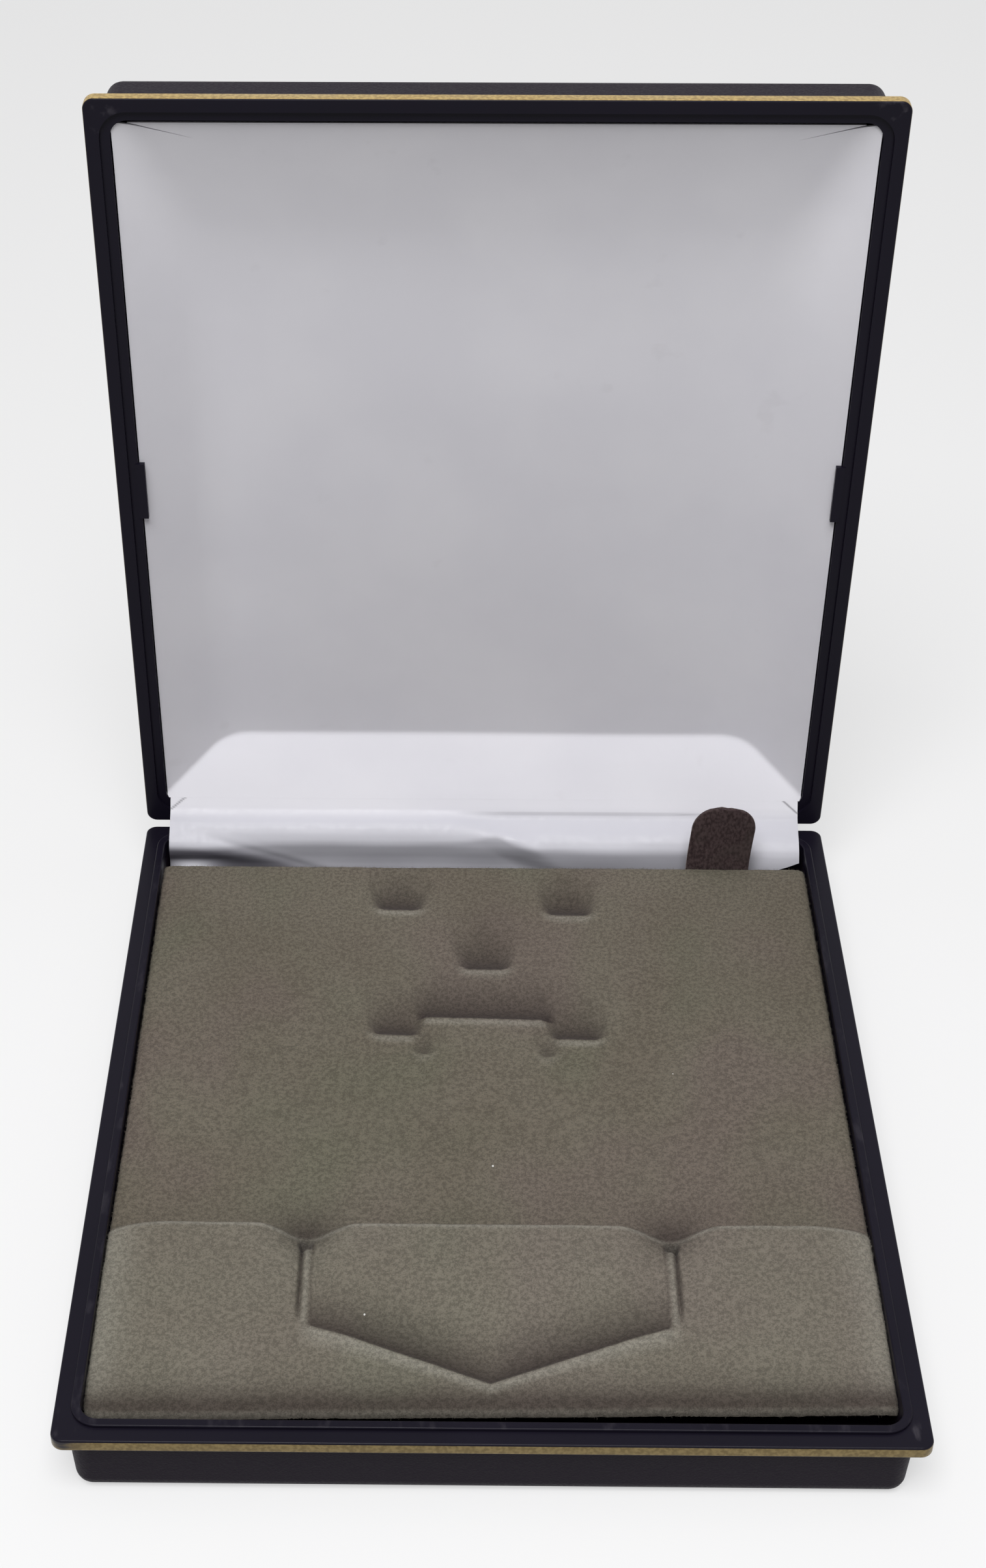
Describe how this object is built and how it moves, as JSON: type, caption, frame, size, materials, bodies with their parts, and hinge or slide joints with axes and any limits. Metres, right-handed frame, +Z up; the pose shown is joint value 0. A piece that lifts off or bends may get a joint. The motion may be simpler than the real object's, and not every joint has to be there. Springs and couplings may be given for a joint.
{
  "type": "medal presentation case",
  "caption": "Shallow hinged presentation case, open, with a white card lid liner and a lift-out flocked tray formed to hold a medal.",
  "frame": {"origin": "middle of the case's underside, where it rests on the table", "axes": "+X to the right seen from the front, +Y towards the hinges, +Z up"},
  "size_m": [0.136, 0.1704, 0.1706],
  "materials": {
    "case_shell": "satin",
    "gold_foil": "satin",
    "hinge_steel": "satin",
    "spring_steel": "satin",
    "white_card": "satin",
    "tray_flock": "matte",
    "tab_velour": "matte"
  },
  "bodies": {
    "base": {"base_shell": "case_shell", "base_gold_line": "gold_foil", "base_hinge_leaf_left": "hinge_steel", "base_hinge_leaf_right": "hinge_steel", "hinge_pin_left": "hinge_steel", "hinge_pin_right": "hinge_steel", "hinge_spring_left": "spring_steel", "hinge_spring_right": "spring_steel", "base_hinge_rivets": "hinge_steel", "spring_rivets": "hinge_steel", "hinge_flap": "white_card"},
    "lid": {"lid_shell": "case_shell", "lid_gold_line": "gold_foil", "lid_hinge_leaf_left": "hinge_steel", "lid_hinge_leaf_right": "hinge_steel", "lid_hinge_rivets": "hinge_steel", "lid_liner": "white_card"},
    "tray": {"insert_tray": "tray_flock", "tab_anchor": "tab_velour"},
    "tab": {"pull_tab": "tab_velour"}
  },
  "joints": [
    {"name": "lid_hinge", "type": "hinge", "parent": "base", "child": "lid", "pos_m": [0, 0.07823, 0.015], "axis": [-1, 0, 0], "range_deg": [-87, 0], "deforming": ["hinge_flap"]},
    {"name": "tray_lift", "type": "slide", "parent": "base", "child": "tray", "axis": [0, 0, 1], "range_m": [0, 0.06]},
    {"name": "tab_fold", "type": "hinge", "parent": "tray", "child": "tab", "pos_m": [0.0464, 0.0662, 0.01495], "axis": [1, 0, 0], "range_deg": [0, 84]}
  ],
  "couplings": [
    {"joint": "tab_fold", "follows": "lid_hinge", "ratio": -0.96552}
  ]
}
